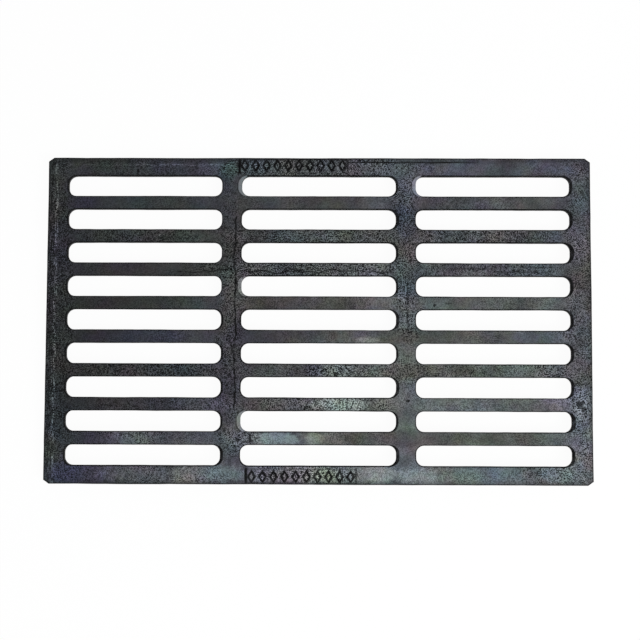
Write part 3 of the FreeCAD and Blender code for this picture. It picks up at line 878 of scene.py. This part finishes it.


# %% [markdown]
# ## The iron finishes
# Both finishes are built by one function. A dark and a pale grey are mixed by the painted sheen and the
# dust, tinted, and multiplied by the speckle, which is stronger where the skin is rough. The edge layer
# paints shade on lips, slot walls and the deck's underside, darkens the grooves, the pads' slopes and the
# rim's edge, and a little noise breaks that line. Below zero it paints a highlight on the few pale left
# ends instead. The single places are for the deck only. The grain goes to a bump node, because it is far
# finer than the mesh.

# %% Iron materials
def iron(name, dark, pale, grains, grain_depth, roughness, marked):
    """One iron finish. dark and pale are its two greys."""
    material = bpy.data.materials.new(name)
    material.use_nodes = True
    tree = material.node_tree
    tree.nodes.clear()
    place = node(tree, "ShaderNodeTexCoord").outputs["Object"]
    grain = node(tree, "ShaderNodeGroup", node_tree=grain_group)
    tree.links.new(place, grain.inputs["Place"])
    grain.inputs["Grains per metre"].default_value = grains
    patches = node(tree, "ShaderNodeGroup", node_tree=patch_group)
    tree.links.new(place, patches.inputs["Place"])
    rim = node(tree, "ShaderNodeGroup", node_tree=rim_streaks_and_shading_group)
    tree.links.new(place, rim.inputs["Place"])
    speckle = grain.outputs["Speckle"]

    # The edge layer paints shade on lips, slot walls and the deck's underside, and also darkens the grooves, the
    # pads' slopes and the rim's edge.
    edge = node(tree, "ShaderNodeAttribute", attribute_name="edge").outputs["Fac"]
    # Below zero, the edge layer paints a highlight on the pale left ends.
    highlit_end = maths(tree, "MULTIPLY", edge, -1.0, clamp=True)
    rough_share = maths(tree, "MULTIPLY_ADD", patches.outputs["Roughened"], 0.2, 0.2)
    uneven = maths(tree, "MULTIPLY_ADD", patches.outputs["Dust"], 0.9, 0.55)
    # dust_and_sheen is the painted sheen of the drift, times the dust patches. The lines below add pale marks
    # and painted highlights.
    dust_and_sheen = maths(tree, "MULTIPLY", patches.outputs["Sheen_drift"], uneven)
    if marked:
        rough_share = maths(tree, "MULTIPLY_ADD", patches.outputs["Roughened"], 0.16,
                            marks(tree, place, ROUGH_PLACES, 40.0))
        kept = maths(tree, "SUBTRACT", 1.0, marks(tree, place, DULL_PLACES, 50.0))
        dust_and_sheen = maths(tree, "MULTIPLY", dust_and_sheen, kept)
        # The rim's pale lines are a painted highlight and pale streaks.
        dust_and_sheen = maths(tree, "MULTIPLY_ADD", rim.outputs["Pale_and_highlight"], 0.23, dust_and_sheen)
        dust_and_sheen = maths(tree, "MULTIPLY_ADD", marks(tree, place, PALE_MARKS, 120.0), 0.75, dust_and_sheen)
    glints = maths(tree, "MULTIPLY", grain.outputs["Glint"], rough_share)
    dust_and_sheen = maths(tree, "MULTIPLY_ADD", glints, 0.08, dust_and_sheen)
    dust_and_sheen = maths(tree, "MULTIPLY_ADD", highlit_end, 0.58, dust_and_sheen)
    colour = mix_colour(tree, dust_and_sheen, dark, pale)
    colour = mix_colour(tree, 1.0, colour, patches.outputs["Tint"], "MULTIPLY")
    if marked:
        for shift, spots in TINTED_PLACES:
            colour = mix_colour(tree, marks(tree, place, spots, 60.0), colour, shift, "MULTIPLY")
    swing = maths(tree, "MULTIPLY_ADD", rough_share, 1.4, 0.29)
    swing = maths(tree, "MULTIPLY", swing, maths(tree, "MULTIPLY_ADD", highlit_end, -0.7, 1.0))
    signed = maths(tree, "MULTIPLY_ADD", speckle, 2.0, -1.0)
    grainy = maths(tree, "MAXIMUM", maths(tree, "MULTIPLY_ADD", swing, signed, 1.0), 0.06)
    colour = node(tree, "ShaderNodeVectorMath", {0: colour, 1: grainy}, operation="MULTIPLY").outputs[0]

    broken = remap(tree, noise_of(tree, place, 140.0, 2.0, 0.5), 0.3, 0.6, 0.82, 1.0)
    shade = maths(tree, "MULTIPLY", edge, broken)
    depth_share = maths(tree, "MULTIPLY_ADD", rough_share, 1.5, 0.45)
    relief = maths(tree, "MULTIPLY", grain.outputs["Height"], depth_share)
    if marked:
        pit = marks(tree, place, DARK_MARKS, 260.0)
        shade = maths(tree, "MAXIMUM", shade, pit)
        # The rings round the studs are painted shade and dirt.
        shade = maths(tree, "MAXIMUM", shade, maths(tree, "MULTIPLY", stud_shade_and_dirt(tree, place), 0.88))
        # The rim's dark lines are painted shade and dark streaks.
        shade = maths(tree, "MAXIMUM", shade, maths(tree, "MULTIPLY", rim.outputs["Dark_and_shade"], 0.75))
        relief = maths(tree, "SUBTRACT", relief, maths(tree, "MULTIPLY", pit, 1.2))
    colour = mix_colour(tree, shade, colour, (0.0015, 0.0015, 0.0018, 1.0))

    rough = maths(tree, "MULTIPLY_ADD", dust_and_sheen, 0.2, roughness)
    rough = maths(tree, "MULTIPLY_ADD", maths(tree, "MULTIPLY", speckle, rough_share), -0.1, rough)
    bump = node(tree, "ShaderNodeBump", {"Height": relief, "Distance": grain_depth, "Strength": 1.0})
    shader = node(tree, "ShaderNodeBsdfPrincipled",
                  {"Base Color": colour, "Roughness": rough, "Normal": bump.outputs["Normal"],
                   "Metallic": 0.0, "Specular IOR Level": 0.08})
    output = node(tree, "ShaderNodeOutputMaterial")
    tree.links.new(shader.outputs["BSDF"], output.inputs["Surface"])
    return material


deck_iron = iron("deck_iron", (0.0193, 0.0196, 0.0214, 1.0), (0.229, 0.237, 0.249, 1.0), 700.0,
                 1.5 * MM, 0.47, True)
core_iron = iron("core_iron", (0.03, 0.029, 0.028, 1.0), (0.16, 0.155, 0.145, 1.0), 480.0,
                 1.0 * MM, 0.62, False)
for material in (deck_iron, core_iron):
    grate.data.materials.append(material)
print("Materials:", [material.name for material in grate.data.materials])

# %% [markdown]
# ## Floor and world
# The floor is a plain white sheet at the plane on which the grate lies. To the camera, and in reflections,
# most of its white is its own, so the picture's ground is clean, and the rest is lit, so a faint shadow
# stays. The world does the same: it fills in with a plain grey, and looks white where it is seen.

# %% Floor and world
def seen_directly(tree):
    """1 for rays from the camera and for reflections and transmission, and 0 for the light itself."""
    path = node(tree, "ShaderNodeLightPath")
    seen = maths(tree, "MAXIMUM", path.outputs["Is Camera Ray"], path.outputs["Is Glossy Ray"])
    return maths(tree, "MAXIMUM", seen, path.outputs["Is Transmission Ray"])


floor_bm = bmesh.new()
bmesh.ops.create_grid(floor_bm, x_segments=1, y_segments=1, size=6.0)
floor_mesh = bpy.data.meshes.new("floor")
floor_bm.to_mesh(floor_mesh)
floor_bm.free()
floor = bpy.data.objects.new("floor", floor_mesh)
bpy.context.scene.collection.objects.link(floor)

floor_paper = bpy.data.materials.new("floor_paper")
floor_paper.use_nodes = True
tree = floor_paper.node_tree
tree.nodes.clear()
lit = node(tree, "ShaderNodeBsdfDiffuse", {"Color": (0.9, 0.9, 0.9, 1.0)})
own = node(tree, "ShaderNodeEmission", {"Color": (1.0, 1.0, 1.0, 1.0), "Strength": 1.0})
blend = node(tree, "ShaderNodeMixShader", {0: maths(tree, "MULTIPLY", seen_directly(tree), 0.96)})
tree.links.new(lit.outputs[0], blend.inputs[1])
tree.links.new(own.outputs[0], blend.inputs[2])
output = node(tree, "ShaderNodeOutputMaterial")
tree.links.new(blend.outputs[0], output.inputs["Surface"])
floor.data.materials.append(floor_paper)

world = bpy.data.worlds.new("studio")
bpy.context.scene.world = world
world.use_nodes = True
tree = world.node_tree
tree.nodes.clear()
studio = mix_colour(tree, seen_directly(tree), (0.5, 0.5, 0.51, 1.0), (1.0, 1.0, 1.0, 1.0))
background = node(tree, "ShaderNodeBackground", {"Color": studio, "Strength": 1.0})
output = node(tree, "ShaderNodeOutputWorld")
tree.links.new(background.outputs[0], output.inputs["Surface"])

# %% [markdown]
# ## One soft lamp
# A photographer would hang one large softbox over such a plate, since a small lamp would print hard
# shadows of the bars. A square area lamp to the front right does the same here. It is kept low enough
# that a colour renders about as it is written.

# %% Lamp
lamp_data = bpy.data.lights.new("soft_lamp", "AREA")
lamp_data.shape = "SQUARE"
lamp_data.size = 1.3
lamp_data.energy = 42.0
lamp = bpy.data.objects.new("soft_lamp", lamp_data)
bpy.context.scene.collection.objects.link(lamp)
lamp_place = Vector((1.0, -0.7, 2.1))
lamp_way = Vector((0.1, -0.05, 0.0)) - lamp_place
lamp.matrix_world = Matrix.Translation(lamp_place) @ lamp_way.to_track_quat("-Z", "Y").to_matrix().to_4x4()

# %% [markdown]
# ## The camera
# The picture was taken from almost straight above, a little from the front. The place and the three
# turns were found by laying the plate's four corners over those in the picture. Turns are multiplied one
# after the other, so each is about an axis of the camera itself.

# %% Camera
CAMERA_PLACE = Vector((13.5 * MM, -93.6 * MM, 1527.0 * MM))
CAMERA_TURN = {"Y": 0.435, "X": 3.57, "Z": 0.193}
camera_data = bpy.data.cameras.new("camera")
camera_data.sensor_width = 36.0
camera_data.lens = 61.55
camera = bpy.data.objects.new("camera", camera_data)
bpy.context.scene.collection.objects.link(camera)
turned = Matrix.Translation(CAMERA_PLACE)
for axis, degrees in CAMERA_TURN.items():
    turned = turned @ Matrix.Rotation(math.radians(degrees), 4, axis)
camera.matrix_world = turned
bpy.context.scene.camera = camera
bpy.context.scene.view_settings.view_transform = "Standard"
print("Camera height in metres:", round(CAMERA_PLACE.z, 3))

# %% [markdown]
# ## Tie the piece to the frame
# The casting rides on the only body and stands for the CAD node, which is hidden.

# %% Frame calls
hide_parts("grate")
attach(grate, "root")
